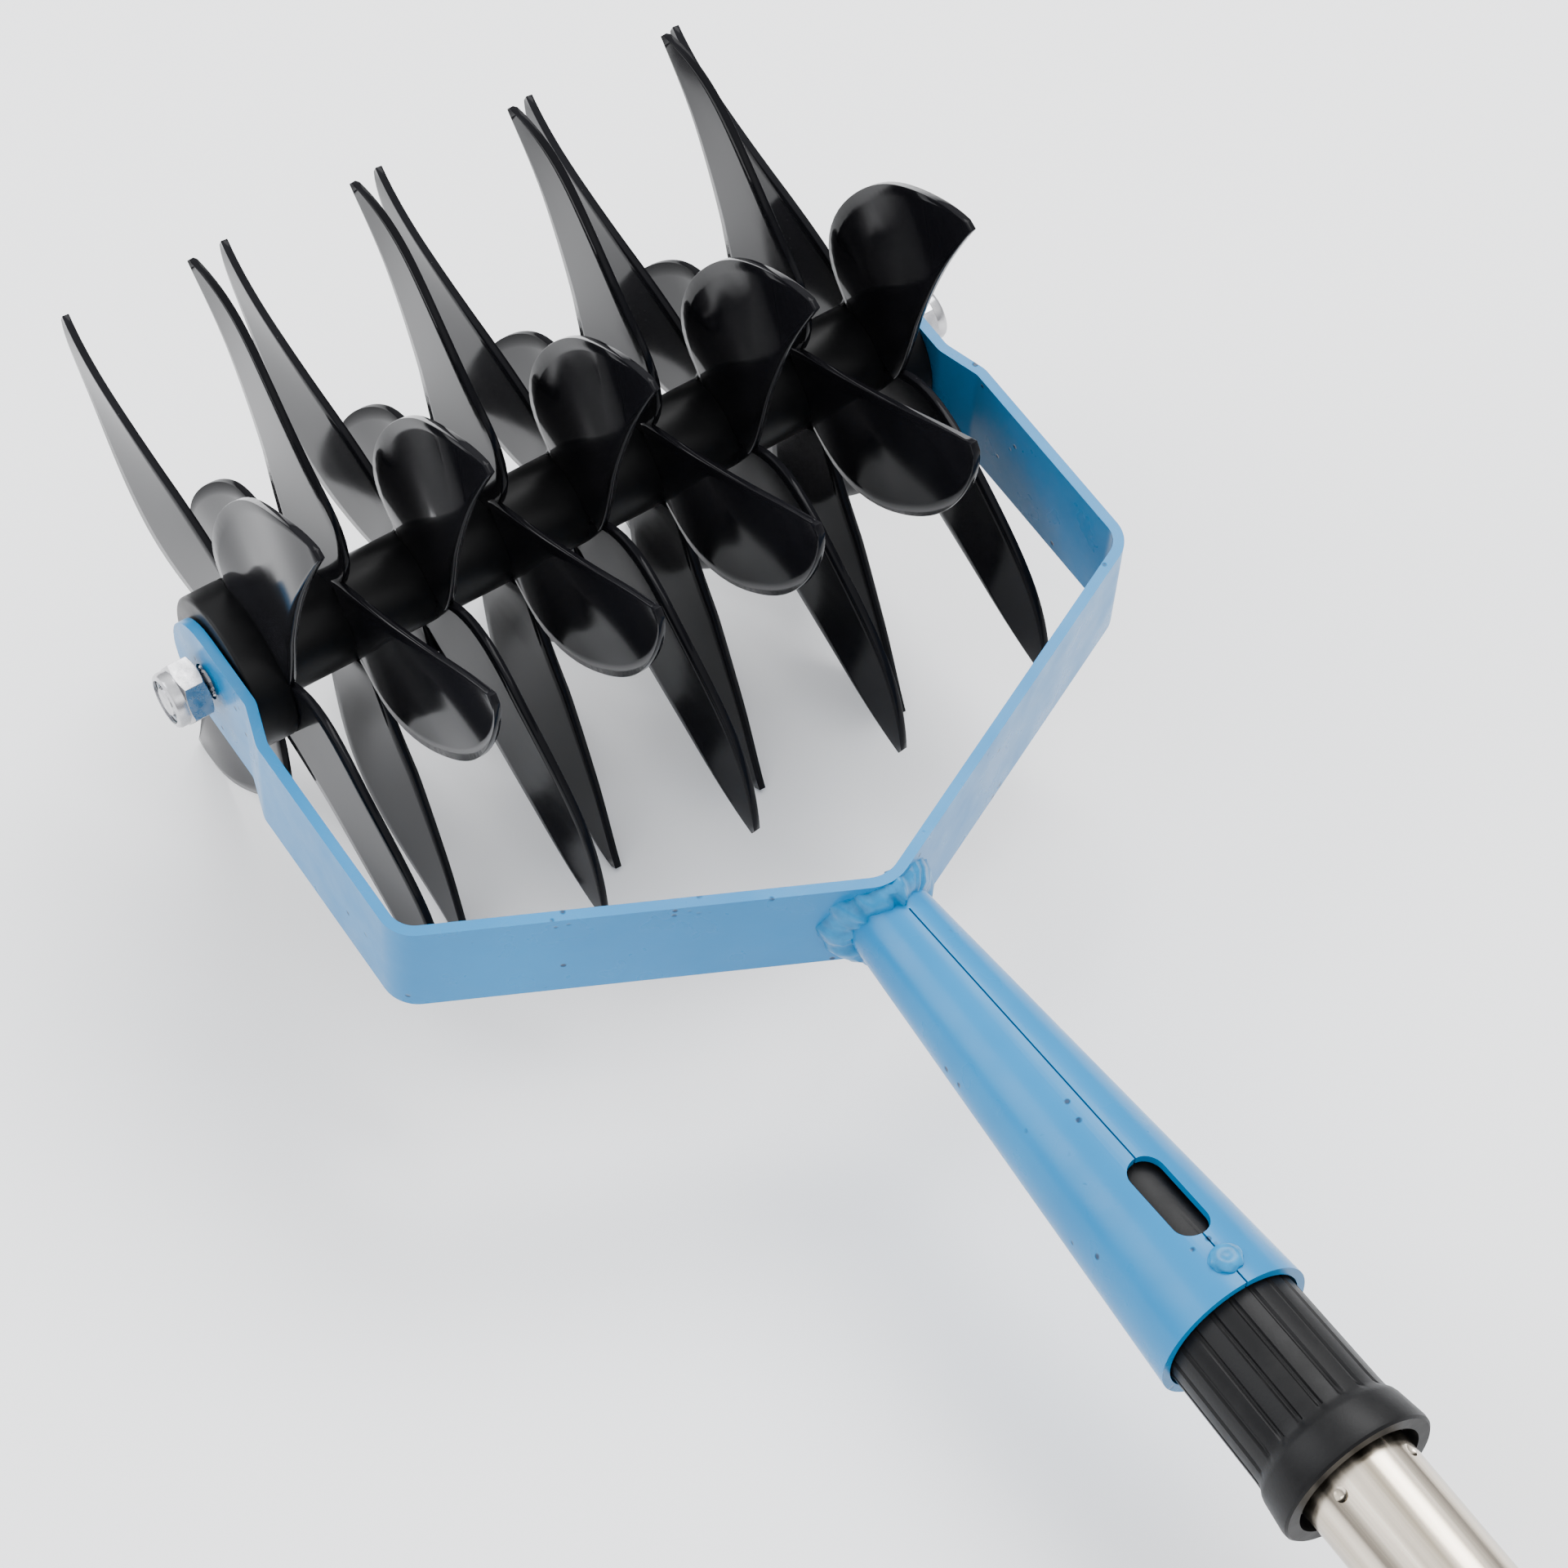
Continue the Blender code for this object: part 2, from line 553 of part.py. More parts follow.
def stand_on_origin(tool_frame):
    """Move the whole tool so that the middle of its box's underside is at the origin."""
    bpy.context.view_layer.update()
    depsgraph = bpy.context.evaluated_depsgraph_get()
    points = []
    for obj in PARTS.objects:
        evaluated = obj.evaluated_get(depsgraph)
        points += [evaluated.matrix_world @ vert.co for vert in evaluated.data.vertices]
    middle_x = (min(p.x for p in points) + max(p.x for p in points)) / 2
    middle_y = (min(p.y for p in points) + max(p.y for p in points)) / 2
    tool_frame.location -= Vector((middle_x, middle_y, min(p.z for p in points)))


clear_scene()
PARTS = new_collection("rotary_tiller")
CUTTERS = new_collection("cutters")
paint = new_material("blue_paint", (0.16, 0.47, 0.76), 0.28)
black = new_material("black_plastic", (0.015, 0.015, 0.017), 0.18)
zinc = new_material("zinc_steel", (0.72, 0.73, 0.74), 0.3, 1.0)
stainless = new_material("stainless_steel", (0.6, 0.57, 0.53), 0.22, 1.0)
grey_plastic = new_material("dark_grey_plastic", (0.035, 0.035, 0.038), 0.5)
nylon_ring = new_material("nylon", (0.75, 0.76, 0.78), 0.45)

tool = add_empty("tool_frame", rotation=(REST_LEAN, 0, 0))
build_yoke(tool, paint)
build_rotor(tool, black)
build_axle(tool, zinc)
build_nut("lock_nut_left", -1, tool, zinc, nylon_ring)
build_nut("lock_nut_right", 1, tool, zinc, nylon_ring)
bar_clear = bar_clearance(tool)
handle = add_empty("handle_axis", tool, (0, HANDLE_ROOT_Y, 0), (math.pi / 2 - HANDLE_RISE, 0, 0))
seam_axis = add_empty("seam_axis", handle, rotation=(0, 0, SEAM_TURN))
build_socket(handle, seam_axis, bar_clear, paint)
build_socket_weld(handle, bar_clear, paint)
build_tack_weld(seam_axis, paint)
build_plug(handle, grey_plastic)
build_handle(handle, stainless, grey_plastic)
stand_on_origin(tool)
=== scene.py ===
import json
import math

import bmesh
import bpy
from mathutils import Matrix, Vector, noise
from mathutils.geometry import interpolate_bezier


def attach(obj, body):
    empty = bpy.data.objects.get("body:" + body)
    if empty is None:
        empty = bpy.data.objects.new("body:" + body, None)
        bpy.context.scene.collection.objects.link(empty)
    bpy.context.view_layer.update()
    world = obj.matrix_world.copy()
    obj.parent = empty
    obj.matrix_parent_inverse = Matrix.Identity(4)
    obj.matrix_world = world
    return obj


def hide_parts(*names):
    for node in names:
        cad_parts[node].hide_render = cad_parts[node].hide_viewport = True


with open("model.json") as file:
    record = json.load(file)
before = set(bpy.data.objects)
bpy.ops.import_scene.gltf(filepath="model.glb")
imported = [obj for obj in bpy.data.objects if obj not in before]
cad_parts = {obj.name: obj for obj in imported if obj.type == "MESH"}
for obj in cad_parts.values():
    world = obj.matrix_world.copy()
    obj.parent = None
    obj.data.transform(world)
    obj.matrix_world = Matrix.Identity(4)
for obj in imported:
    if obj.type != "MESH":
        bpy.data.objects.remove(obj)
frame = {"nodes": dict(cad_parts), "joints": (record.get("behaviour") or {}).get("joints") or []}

# The same driving dimensions as the CAD part, in metres.
MM = 0.001
REST_LEAN = math.radians(7.25)
WHEEL_COUNT = 9
BLADES_PER_WHEEL = 4
FIRST_WHEEL_X = -75.8 * MM
WHEEL_PITCH = 19.2 * MM
HUB_RADIUS = 10.5 * MM
END_HUB_RADIUS = 18.0 * MM
BORE_RADIUS = 4.5 * MM
ROTOR_LEFT = -84.9 * MM
ROTOR_RIGHT = 85.2 * MM
BLADE_THICKNESS = 1.6 * MM
ODD_TIP_ANGLE = math.radians(23.6)
EVEN_TIP_ANGLE = math.radians(51.9)
BELLY_ROOT = ((7.5, -5.0), (9.0, -18.0), (22.0, -24.6), (34.0, -24.6))
BELLY_TIP = ((34.0, -24.6), (52.0, -24.6), (76.0, -14.5), (82.8, -1.3))
HOLLOW_EDGE = ((10.0, 11.0), (19.0, 12.0), (50.0, 2.0), (82.8, 1.0))
BACK_BLADE_SWEEP = (-5.6, 0.065, 0.25, -0.007, 0.27, -0.074)
FRONT_BLADE_SWEEP = (6.05, -0.14, -0.07, 0.053, -0.19, -0.083)
RISE_FROM = 8.0 * MM
RISE_TO = 38.0 * MM
FADE_FROM = 60.0 * MM
FADE_TO = 82.8 * MM
WEB_RISE = 0.05
BAR_WIDTH = 27.4 * MM
BAR_THICKNESS = 2.4 * MM
EAR_X = 86.7 * MM
ARM_X = 89.9 * MM
JOGGLE_START = 18.0 * MM
JOGGLE_END = 28.0 * MM
CORNER_Y = -80.7 * MM
APEX_Y = -123.7 * MM
CORNER_BEND = 7.0 * MM
JOGGLE_BEND = 6.0 * MM
APEX_BEND = 9.0 * MM
AXLE_HOLE_RADIUS = 4.2 * MM
HANDLE_ROOT_Y = -125.0 * MM
HANDLE_RISE = 0.08
SOCKET_ROOT_RADIUS = 9.3 * MM
SOCKET_MOUTH_RADIUS = 17.0 * MM
SOCKET_LENGTH = 114.6 * MM
SOCKET_WALL = 1.8 * MM
SEAM_TURN = math.radians(-5.0)
SLOT_WIDTH = 8.0 * MM
SLOT_START = 80.0 * MM
SLOT_END = 101.0 * MM
TACK_AT = 108.2 * MM
PLUG_RADIUS = 14.6 * MM
PLUG_RIBS = 20
RIB_HEIGHT = 0.7 * MM
PLUG_FOOT = 46.0 * MM
PLUG_BARREL_START = 92.0 * MM
COLLAR_START = 143.0 * MM
COLLAR_LENGTH = 10.0 * MM
COLLAR_RECESS = 4.0 * MM
TUBE_RADIUS = 12.05 * MM
TUBE_WALL = 1.0 * MM
LOWER_TUBE_LENGTH = 330.0 * MM
UPPER_TUBE_LENGTH = 389.7 * MM
CRIMP_AT = 156.5 * MM
CRIMP_ANGLES = (-0.75, 0.75, 2.39, 3.89)
GRIP_LENGTH = 150.0 * MM
GRIP_RADIUS = 15.2 * MM
GRIP_GROOVES = 6
CAP_LENGTH = 12.0 * MM
NUT_SEAT = 89.7 * MM
NUT_ACROSS_FLATS = 13.0 * MM
NUT_HEX_HEIGHT = 5.4 * MM
NUT_HEIGHT = 8.0 * MM
INSERT_RADIUS = 5.4 * MM
ROD_RADIUS = 3.9 * MM
GAP = 0.3 * MM

# Camera, in the tool's own frame: the axle along X through the origin and the handle towards -Y.
CAMERA_AT = Vector((-0.2980, -0.4757, 0.7686))
CAMERA_AIM = Vector((0.3268, 0.4274, -0.8430))
CAMERA_RIGHT = Vector((0.8294, -0.5572, 0.0390))
CAMERA_LENS = 101.0

# Studio
FLOOR_COLOUR = (0.92, 0.92, 0.93)
FLOOR_HALF_SIZE = 6.0
SKY_COLOUR = (0.98, 0.99, 1.0)
HORIZON_COLOUR = (0.14, 0.14, 0.15)
SKY_STRENGTH = 2.25

# Mesh detail
BELLY_ROOT_STEPS = 12
BELLY_TIP_STEPS = 22
BLADE_ACROSS = 10
TURN_STEPS = 96
FULL_TURN = 2 * math.pi

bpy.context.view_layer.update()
axle_at = Vector(next(joint for joint in frame["joints"] if joint["name"] == "rotor_spin")["pos_m"])
TOOL = Matrix.Translation(axle_at) @ Matrix.Rotation(REST_LEAN, 4, "X")
HANDLE = TOOL @ Matrix.Translation((0, HANDLE_ROOT_Y, 0)) \
    @ Matrix.Rotation(math.pi / 2 - HANDLE_RISE, 4, "X")
SEAM_SIDE = HANDLE @ Matrix.Rotation(SEAM_TURN, 4, "Z")


# ---------------------------------------------------------------- materials

def link(tree, source, output, target, socket):
    tree.links.new(source.outputs[output], target.inputs[socket])


def new_shader(name, colour, roughness, metallic=0.0):
    material = bpy.data.materials.new(name)
    material.use_nodes = True
    tree = material.node_tree
    shader = tree.nodes["Principled BSDF"]
    shader.inputs["Base Color"].default_value = (*colour, 1.0)
    shader.inputs["Roughness"].default_value = roughness
    shader.inputs["Metallic"].default_value = metallic
    return material, tree, shader


def object_coordinates(tree, stretch=(1, 1, 1)):
    coordinates = tree.nodes.new("ShaderNodeTexCoord")
    mapping = tree.nodes.new("ShaderNodeMapping")
    mapping.inputs["Scale"].default_value = stretch
    link(tree, coordinates, "Object", mapping, "Vector")
    return mapping


def noise_texture(tree, scale, detail=3.0, roughness=0.5, stretch=(1, 1, 1)):
    mapping = object_coordinates(tree, stretch)
    texture = tree.nodes.new("ShaderNodeTexNoise")
    texture.inputs["Scale"].default_value = scale
    texture.inputs["Detail"].default_value = detail
    texture.inputs["Roughness"].default_value = roughness
    link(tree, mapping, "Vector", texture, "Vector")
    return texture


def speck_texture(tree, scale, size, seed=0.0):
    """Scattered round specks: 1 inside a speck and 0 elsewhere."""
    mapping = object_coordinates(tree)
    mapping.inputs["Location"].default_value = (seed, seed, seed)
    cells = tree.nodes.new("ShaderNodeTexVoronoi")
    cells.inputs["Scale"].default_value = scale
    link(tree, mapping, "Vector", cells, "Vector")
    return ramp_between(tree, cells, "Distance", size, size * 0.6)


def ramp_between(tree, source, output, low, high, to_low=0.0, to_high=1.0):
    """A smooth step of a value: to_low at low and to_high at high."""
    step = tree.nodes.new("ShaderNodeMapRange")
    step.inputs["From Min"].default_value = low
    step.inputs["From Max"].default_value = high
    step.inputs["To Min"].default_value = to_low
    step.inputs["To Max"].default_value = to_high
    link(tree, source, output, step, "Value")
    return step


def mix_colour(tree, factor, first, second):
    """Mixes two colours by a factor. Each colour is a triple or a node with a Result or Color output."""
    mix = tree.nodes.new("ShaderNodeMix")
    mix.data_type = "RGBA"
    tree.links.new(factor.outputs[0], mix.inputs[0])
    for socket, colour in ((mix.inputs[6], first), (mix.inputs[7], second)):
        if isinstance(colour, tuple):
            socket.default_value = (*colour, 1.0)
        else:
            tree.links.new(colour.outputs[2], socket)
    return mix


def stack_bump(tree, shader, layers):
    """Bump layers on top of each other: (node, output, strength, distance in metres)."""
    previous = None
    for source, output, strength, distance in layers:
        bump = tree.nodes.new("ShaderNodeBump")
        bump.inputs["Strength"].default_value = strength
        bump.inputs["Distance"].default_value = distance
        link(tree, source, output, bump, "Height")
        if previous:
            link(tree, previous, "Normal", bump, "Normal")
        previous = bump
    link(tree, previous, "Normal", shader, "Normal")


def make_blue_paint():
    """Gloss powder coat: orange peel, slight waves and colour drift, and rare dark pits."""
    material, tree, shader = new_shader("blue_powder_coat", (0.006, 0.178, 0.455), 0.3)
    shader.inputs["Specular IOR Level"].default_value = 0.2
    shader.inputs["Coat Weight"].default_value = 0.05
    shader.inputs["Coat Roughness"].default_value = 0.14
    drift = ramp_between(tree, noise_texture(tree, 18.0, 4.0), "Fac", 0.35, 0.65)
    body = mix_colour(tree, drift, (0.0, 0.160, 0.38), (0.0, 0.190, 0.44))
    pits = speck_texture(tree, 260.0, 0.20)
    rare = ramp_between(tree, noise_texture(tree, 55.0, 1.0), "Fac", 0.585, 0.62)
    gate = tree.nodes.new("ShaderNodeMath")
    gate.operation = "MULTIPLY"
    tree.links.new(pits.outputs[0], gate.inputs[0])
    tree.links.new(rare.outputs[0], gate.inputs[1])
    coloured = mix_colour(tree, gate, body, (0.004, 0.03, 0.08))
    tree.links.new(coloured.outputs[2], shader.inputs["Base Color"])
    gloss = ramp_between(tree, noise_texture(tree, 90.0, 3.0), "Fac", 0.3, 0.7, 0.24, 0.38)
    link(tree, gloss, "Result", shader, "Roughness")
    peel = noise_texture(tree, 420.0, 2.0)
    waves = noise_texture(tree, 60.0, 2.0)
    stack_bump(tree, shader, [(waves, "Fac", 0.25, 0.0006), (peel, "Fac", 0.18, 0.00012),
                              (gate, 0, 0.5, -0.0003)])
    return material


def make_weld_paint():
    """The same paint over the rough surface of a weld, with painted shade: darker colour in the hollows
    between the lumps.
    """
    material, tree, shader = new_shader("painted_weld", (0.006, 0.17, 0.44), 0.33)
    shader.inputs["Specular IOR Level"].default_value = 0.25
    shader.inputs["Coat Weight"].default_value = 0.05
    shader.inputs["Coat Roughness"].default_value = 0.16
    lumps = noise_texture(tree, 240.0, 4.0, 0.6)
    hollow = ramp_between(tree, lumps, "Fac", 0.35, 0.6)
    # painted shade: the colour is darker where the lumps sink and lighter on their tops
    coloured = mix_colour(tree, hollow, (0.0, 0.135, 0.31), (0.001, 0.195, 0.43))
    tree.links.new(coloured.outputs[2], shader.inputs["Base Color"])
    stack_bump(tree, shader, [(lumps, "Fac", 0.35, 0.0004)])
    return material


def make_black_plastic():
    """Gloss moulding: a trace of orange peel, faint smears and a little settled dust."""
    material, tree, shader = new_shader("black_moulding", (0.006, 0.006, 0.007), 0.1)
    shader.inputs["Specular IOR Level"].default_value = 0.05
    dust = speck_texture(tree, 700.0, 0.07)
    where = ramp_between(tree, noise_texture(tree, 30.0, 3.0), "Fac", 0.56, 0.70, 0.0, 0.6)
    gate = tree.nodes.new("ShaderNodeMath")
    gate.operation = "MULTIPLY"
    tree.links.new(dust.outputs[0], gate.inputs[0])
    tree.links.new(where.outputs[0], gate.inputs[1])
    clouds = ramp_between(tree, noise_texture(tree, 22.0, 5.0, 0.6), "Fac", 0.4, 0.75)
    body = mix_colour(tree, clouds, (0.004, 0.004, 0.005), (0.010, 0.010, 0.012))
    coloured = mix_colour(tree, gate, body, (0.22, 0.22, 0.21))
    tree.links.new(coloured.outputs[2], shader.inputs["Base Color"])
    smear = noise_texture(tree, 45.0, 4.0, 0.6, (1.0, 0.4, 1.0))
    gloss = ramp_between(tree, smear, "Fac", 0.40, 0.75, 0.08, 0.15)
    link(tree, gloss, "Result", shader, "Roughness")
    peel = noise_texture(tree, 55.0, 1.0, 0.4)
    stack_bump(tree, shader, [(peel, "Fac", 0.04, 0.0004)])
    return material


def make_hub_plastic():
    """The satin surface of the hubs, with faint turning marks round the axle."""
    material, tree, shader = new_shader("black_hub", (0.003, 0.003, 0.0035), 0.4)
    shader.inputs["Specular IOR Level"].default_value = 0.13
    clouds = ramp_between(tree, noise_texture(tree, 60.0, 4.0, 0.6), "Fac", 0.4, 0.75)
    coloured = mix_colour(tree, clouds, (0.002, 0.002, 0.0025), (0.005, 0.005, 0.0055))
    tree.links.new(coloured.outputs[2], shader.inputs["Base Color"])
    gloss = ramp_between(tree, clouds, "Result", 0.0, 1.0, 0.32, 0.46)
    link(tree, gloss, "Result", shader, "Roughness")
    marks = noise_texture(tree, 900.0, 2.0, 0.5, (1.0, 0.08, 0.08))
    stack_bump(tree, shader, [(marks, "Fac", 0.06, 0.00008)])
    return material


def make_zinc():
    """Bright zinc plate with a slight bloom."""
    material, tree, shader = new_shader("bright_zinc", (0.74, 0.75, 0.77), 0.24, 1.0)
    bloom = ramp_between(tree, noise_texture(tree, 160.0, 4.0), "Fac", 0.35, 0.7)
    coloured = mix_colour(tree, bloom, (0.50, 0.50, 0.51), (0.30, 0.30, 0.32))
    tree.links.new(coloured.outputs[2], shader.inputs["Base Color"])
    gloss = ramp_between(tree, noise_texture(tree, 420.0, 3.0), "Fac", 0.3, 0.7, 0.14, 0.36)
    link(tree, gloss, "Result", shader, "Roughness")
    stack_bump(tree, shader, [(noise_texture(tree, 700.0, 3.0), "Fac", 0.12, 0.0001)])
    return material


def make_stainless():
    """Thin tube polished along its length: long streaks in colour, gloss and bump."""
    material, tree, shader = new_shader("polished_tube", (0.62, 0.59, 0.54), 0.2, 1.0)
    streaks = noise_texture(tree, 260.0, 3.0, 0.6, (1.0, 1.0, 0.02))
    tone = ramp_between(tree, streaks, "Fac", 0.3, 0.7)
    coloured = mix_colour(tree, tone, (0.34, 0.29, 0.22), (0.82, 0.73, 0.61))
    tree.links.new(coloured.outputs[2], shader.inputs["Base Color"])
    gloss = ramp_between(tree, streaks, "Fac", 0.3, 0.7, 0.13, 0.30)
    link(tree, gloss, "Result", shader, "Roughness")
    stack_bump(tree, shader, [(streaks, "Fac", 0.10, 0.0001)])
    return material


def make_grey_plastic():
    """Satin moulding with the fine grain of a spark-eroded mould."""
    material, tree, shader = new_shader("satin_moulding", (0.010, 0.010, 0.011), 0.5)
    shader.inputs["Specular IOR Level"].default_value = 0.15
    grain = noise_texture(tree, 1500.0, 3.0, 0.6)
    scuffs = ramp_between(tree, noise_texture(tree, 70.0, 5.0, 0.7), "Fac", 0.45, 0.8)
    coloured = mix_colour(tree, scuffs, (0.003, 0.003, 0.0035), (0.009, 0.009, 0.009))
    tree.links.new(coloured.outputs[2], shader.inputs["Base Color"])
    gloss = ramp_between(tree, scuffs, "Result", 0.0, 1.0, 0.42, 0.60)
    link(tree, gloss, "Result", shader, "Roughness")
    stack_bump(tree, shader, [(grain, "Fac", 0.22, 0.00012)])
    return material


def make_nylon():
    """Pale, slightly translucent nylon."""
    material, tree, shader = new_shader("nylon_ring", (0.55, 0.57, 0.60), 0.42)
    shader.inputs["Subsurface Weight"].default_value = 0.1
    grain = noise_texture(tree, 600.0, 2.0)
    coloured = mix_colour(tree, grain, (0.48, 0.50, 0.54), (0.62, 0.64, 0.67))
    tree.links.new(coloured.outputs[2], shader.inputs["Base Color"])
    stack_bump(tree, shader, [(grain, "Fac", 0.1, 0.0001)])
    return material


def make_floor_material():
    return new_shader("pale_floor", FLOOR_COLOUR, 0.6)[0]


BLUE = make_blue_paint()
WELD = make_weld_paint()
BLACK = make_black_plastic()
HUB_BLACK = make_hub_plastic()
ZINC = make_zinc()
STEEL = make_stainless()
GREY = make_grey_plastic()
NYLON = make_nylon()


# ---------------------------------------------------------------- mesh helpers

def mesh_from(bm, name, sharp_angle=40.0):
    bmesh.ops.recalc_face_normals(bm, faces=bm.faces)
    mesh = bpy.data.meshes.new(name)
    bm.to_mesh(mesh)
    bm.free()
    mesh.shade_smooth()
    mesh.set_sharp_from_angle(angle=math.radians(sharp_angle))
    return mesh


def add_piece(name, mesh, material, matrix, body="frame", nodes=()):
    """A visible piece that rides on a CAD body and stands for the named CAD nodes."""
    obj = bpy.data.objects.new(name, mesh)
    bpy.context.scene.collection.objects.link(obj)
    obj.matrix_world = matrix
    mesh.materials.append(material)
    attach(obj, body)
    if nodes:
        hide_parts(*nodes)
    return obj


def add_cutter(name, mesh, matrix):
    """A helper mesh that combine() or join_meshes() uses up and removes."""
    obj = bpy.data.objects.new(name, mesh)
    bpy.context.scene.collection.objects.link(obj)
    obj.matrix_world = matrix
    return obj


def bake(obj):
    """Replaces the object's mesh by its evaluated shape and drops the modifiers."""
    depsgraph = bpy.context.evaluated_depsgraph_get()
    mesh = bpy.data.meshes.new_from_object(obj.evaluated_get(depsgraph))
    obj.modifiers.clear()
    obj.data = mesh


def combine(obj, cutters, operation="DIFFERENCE"):
    """Cuts or joins other objects with this one, and removes them."""
    for cutter in cutters:
        modifier = obj.modifiers.new("Cut", "BOOLEAN")
        modifier.operation = operation
        modifier.solver = "EXACT"
        modifier.object = cutter
    bpy.context.view_layer.update()
    bake(obj)
    for cutter in cutters:
        bpy.data.objects.remove(cutter, do_unlink=True)


def soften(obj, width, segments=3, angle=35.0):
    """Rounds the sharp edges."""
    bevel = obj.modifiers.new("Round", "BEVEL")
    bevel.width = width
    bevel.segments = segments
    bevel.limit_method = "ANGLE"
    bevel.angle_limit = math.radians(angle)
    bevel.harden_normals = True


def turned_mesh(name, profile, steps=TURN_STEPS, sharp_angle=40.0):
    """A solid of revolution about local Z. The profile is (radius, height) up the outer side."""
    bm = bmesh.new()
    verts = [bm.verts.new((radius, 0, height)) for radius, height in profile]
    edges = [bm.edges.new(pair) for pair in zip(verts, verts[1:])]
    if profile[0][0] > 0:
        edges.append(bm.edges.new((verts[-1], verts[0])))
    bmesh.ops.spin(bm, geom=verts + edges, axis=(0, 0, 1), cent=(0, 0, 0), angle=FULL_TURN,
                   steps=steps, use_merge=True)
    bmesh.ops.remove_doubles(bm, verts=bm.verts, dist=0.001 * MM)
    return mesh_from(bm, name, sharp_angle)


def cylinder_mesh(name, radius, start, end, segments=48):
    """A cylinder along X between two stations."""
    bm = bmesh.new()
    place = Matrix.Translation(((start + end) / 2, 0, 0)) @ Matrix.Rotation(math.pi / 2, 4, "Y")
    bmesh.ops.create_cone(bm, cap_ends=True, segments=segments, radius1=radius, radius2=radius,
                          depth=end - start, matrix=place)
    return mesh_from(bm, name)


def box_mesh(name, size, centre=(0, 0, 0)):
    bm = bmesh.new()
    bmesh.ops.create_cube(bm, size=1.0, matrix=Matrix.Translation(centre) @ Matrix.Diagonal((*size, 1)))
    return mesh_from(bm, name)


def rounded_profile(profile, radius, steps=3):
    """Rounds each inner corner of a (radius, height) outline by a small arc."""
    result = [profile[0]]
    for before, corner, after in zip(profile, profile[1:], profile[2:]):
        middle = Vector(corner)
        back = Vector(before) - middle
        ahead = Vector(after) - middle
        reach = min(radius, back.length * 0.4, ahead.length * 0.4)
        start = middle + back.normalized() * reach
        end = middle + ahead.normalized() * reach
        for step in range(steps + 1):
            t = step / steps
            point = start * (1 - t) ** 2 + middle * 2 * t * (1 - t) + end * t ** 2
            result.append((point.x, point.y))
    result.append(profile[-1])
    return result


# ---------------------------------------------------------------- tine wheels

def bezier_points(handles, steps):
    corners = [Vector((u * MM, v * MM, 0)) for u, v in handles]
    return interpolate_bezier(corners[0], corners[1], corners[2], corners[3], steps)


def blade_offset(sweep, u, v):
    """How far a point of the blade stands off the plane of its tips."""
    root, along, across, along_bend, across_bend, twist = sweep
    u_mm = u / MM
    v_mm = v / MM
    flat = root + along * u_mm + across * v_mm
    bent = along_bend * u_mm ** 2 / 80 + across_bend * v_mm ** 2 / 20 + twist * u_mm * v_mm / 40
    rise = max(WEB_RISE, min(1.0, (u - RISE_FROM) / (RISE_TO - RISE_FROM)))
    fade = 1.0 - max(0.0, (u - FADE_FROM) / (FADE_TO - FADE_FROM)) ** 2
    return (flat + bent) * rise * fade * MM


def blade_object(name, sweep, angle, flip):
    """One blade, as a ruled sheet between its belly and its hollow edge, with rounded edges."""
    belly = bezier_points(BELLY_ROOT, BELLY_ROOT_STEPS) + bezier_points(BELLY_TIP, BELLY_TIP_STEPS)[1:]
    hollow = bezier_points(HOLLOW_EDGE, len(belly))
    bm = bmesh.new()
    bmesh.ops.create_grid(bm, x_segments=len(belly) - 1, y_segments=BLADE_ACROSS, size=0.5)
    for vert in bm.verts:
        station = round((vert.co.x + 0.5) * (len(belly) - 1))
        edges = [Vector((blade_offset(sweep, point.x, point.y), point.x, point.y))
                 for point in (belly[station], hollow[station])]
        vert.co = edges[0].lerp(edges[1], vert.co.y + 0.5)
    place = Matrix.Rotation(angle, 4, "X") @ Matrix.Rotation(flip, 4, "Y")
    obj = add_cutter(name, mesh_from(bm, name), place)
    sheet = obj.modifiers.new("Sheet", "SOLIDIFY")
    sheet.thickness = BLADE_THICKNESS
    sheet.offset = 0.0
    soften(obj, 0.45 * MM, 2)
    return obj


def hub_object(number):
    """The hub of a wheel, from the web of its own blades to the next wheel's."""
    wide = number == WHEEL_COUNT
    radius = END_HUB_RADIUS if wide else HUB_RADIUS
    end = ROTOR_RIGHT - FIRST_WHEEL_X - WHEEL_PITCH * (number - 1) if wide else WHEEL_PITCH
    joint = 0.02 * MM
    profile = [(BORE_RADIUS, joint), (radius, joint), (radius, end - joint), (BORE_RADIUS, end - joint)]
    mesh = turned_mesh("hub", rounded_profile(profile, 0.5 * MM if wide else 0.05 * MM))
    mesh.transform(Matrix.Rotation(math.pi / 2, 4, "Y"))
    return add_cutter("hub", mesh, Matrix.Identity(4))


def join_meshes(name, objects):
    """One mesh out of several evaluated objects, which are removed. Only the first uses slot 0."""
    bpy.context.view_layer.update()
    depsgraph = bpy.context.evaluated_depsgraph_get()
    bm = bmesh.new()
    for index, obj in enumerate(objects):
        evaluated = obj.evaluated_get(depsgraph)
        mesh = bpy.data.meshes.new_from_object(evaluated)
        mesh.transform(obj.matrix_world)
        known = len(bm.faces)
        bm.from_mesh(mesh)
        bm.faces.ensure_lookup_table()
        for face in bm.faces[known:]:
            face.material_index = min(index, 1)
        bpy.data.meshes.remove(mesh)
    for obj in objects:
        bpy.data.objects.remove(obj, do_unlink=True)
    joined = bpy.data.meshes.new(name)
    bm.to_mesh(joined)
    bm.free()
    joined.shade_smooth()
    joined.set_sharp_from_angle(angle=math.radians(50))
    return joined


